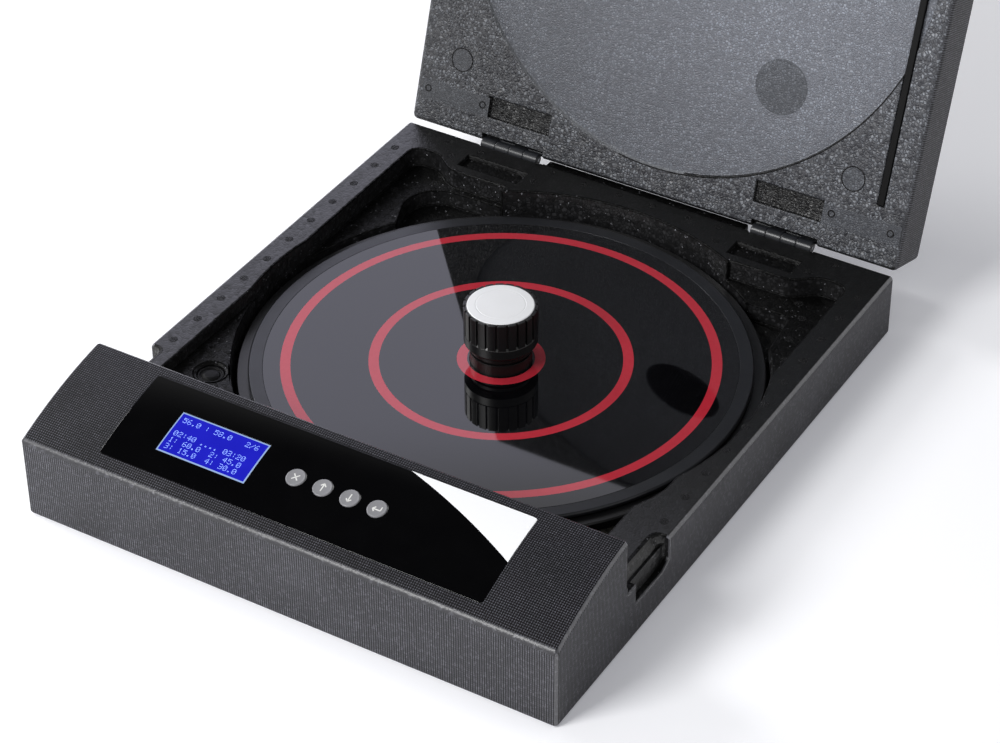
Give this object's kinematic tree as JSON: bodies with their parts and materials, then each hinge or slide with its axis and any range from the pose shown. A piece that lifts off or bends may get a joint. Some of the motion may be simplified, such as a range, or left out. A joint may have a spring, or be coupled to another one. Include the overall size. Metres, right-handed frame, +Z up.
{
  "type": "record flattener",
  "caption": "Hinged bead-foam case that holds two heated round plates to press a warped vinyl record flat, with a sloped control panel and a screw-down knob.",
  "frame": {"origin": "middle of the case's underside", "axes": "+X to the user's right, +Y from the control panel to the hinges, +Z up"},
  "size_m": [0.36, 0.5652, 0.3692],
  "materials": {
    "foam": "fine moulded bead foam, dark grey to black",
    "panel": "glossy black",
    "display": "glossy blue display",
    "key": "satin grey",
    "board": "green solder mask",
    "plastic": "matt black",
    "plate": "black anodised",
    "face": "mirror-gloss black with red bands",
    "knob": "satin black",
    "cap": "gloss white",
    "steel": "plain steel",
    "hinge": "satin dark grey",
    "brass": "plain brass",
    "mat": "orange silicone heating mat",
    "insulation": "grey fibre board",
    "rubber": "matt black",
    "lead": "matt black jacket"
  },
  "bodies": {
    "base": {"base_case": "foam", "front_panel": "panel", "display_window": "display", "display_module": "steel", "control_board": "board", "board_tray": "plastic", "cancel_switch": "plastic", "up_switch": "plastic", "down_switch": "plastic", "enter_switch": "plastic", "board_screw_1": "steel", "board_screw_2": "steel", "board_screw_3": "steel", "board_screw_4": "steel", "power_board": "board", "power_module": "plastic", "power_inlet": "plastic", "inlet_lead": "lead", "heater_lead": "lead", "pocket_plug": "rubber", "insulation_disc": "insulation", "heater_mat": "mat", "heater_plate": "plate", "temperature_sensor": "plastic", "centre_spindle": "steel", "spindle_nut": "steel", "plate_standoff_1": "rubber", "plate_standoff_2": "rubber", "plate_standoff_3": "rubber", "plate_standoff_4": "rubber", "base_leaf_left": "hinge", "base_leaf_right": "hinge", "hinge_pin_left": "steel", "hinge_pin_right": "steel"},
    "lid": {"lid_shell": "foam", "lid_leaf_left": "hinge", "lid_leaf_right": "hinge", "side_strip": "rubber"},
    "press": {"press_plate": "plate", "gloss_face": "face", "press_pad": "rubber", "plate_stem": "knob", "stem_screw_1": "steel", "stem_screw_2": "steel", "stem_screw_3": "steel"},
    "clamp": {"clamp_collar": "knob", "thrust_washer": "steel"},
    "knob": {"knob_grip": "knob", "knob_cap": "cap", "threaded_insert": "brass"},
    "cancel_button": {"cancel_key": "key"},
    "up_button": {"up_key": "key"},
    "down_button": {"down_key": "key"},
    "enter_button": {"enter_key": "key"}
  },
  "joints": [
    {"name": "lid_hinge", "type": "hinge", "parent": "base", "child": "lid", "pos_m": [0, 0.2118, 0.0443], "axis": [1, 0, 0], "range_deg": [0, 108.1]},
    {"name": "press_plate_lift", "type": "slide", "parent": "base", "child": "press", "axis": [0, 0, -1], "range_m": [-0.12, 0]},
    {"name": "knob_rise", "type": "slide", "parent": "press", "child": "clamp", "axis": [0, 0, -1], "range_m": [-0.006, 0]},
    {"name": "knob_turn", "type": "hinge", "parent": "clamp", "child": "knob", "pos_m": [0.003, 0.0259, 0.06], "axis": [0, 0, -1], "range_deg": [-1440, 0]},
    {"name": "cancel_press", "type": "slide", "parent": "base", "child": "cancel_button", "axis": [0, 0.2699, -0.9629], "range_m": [0, 0.0008], "stiffness_N_per_m": 500},
    {"name": "up_press", "type": "slide", "parent": "base", "child": "up_button", "axis": [0, 0.2699, -0.9629], "range_m": [0, 0.0008], "stiffness_N_per_m": 500},
    {"name": "down_press", "type": "slide", "parent": "base", "child": "down_button", "axis": [0, 0.2699, -0.9629], "range_m": [0, 0.0008], "stiffness_N_per_m": 500},
    {"name": "enter_press", "type": "slide", "parent": "base", "child": "enter_button", "axis": [0, 0.2699, -0.9629], "range_m": [0, 0.0008], "stiffness_N_per_m": 500}
  ],
  "couplings": [
    {"joint": "knob_rise", "follows": "knob_turn", "m_per_rad": 0.00023873}
  ]
}
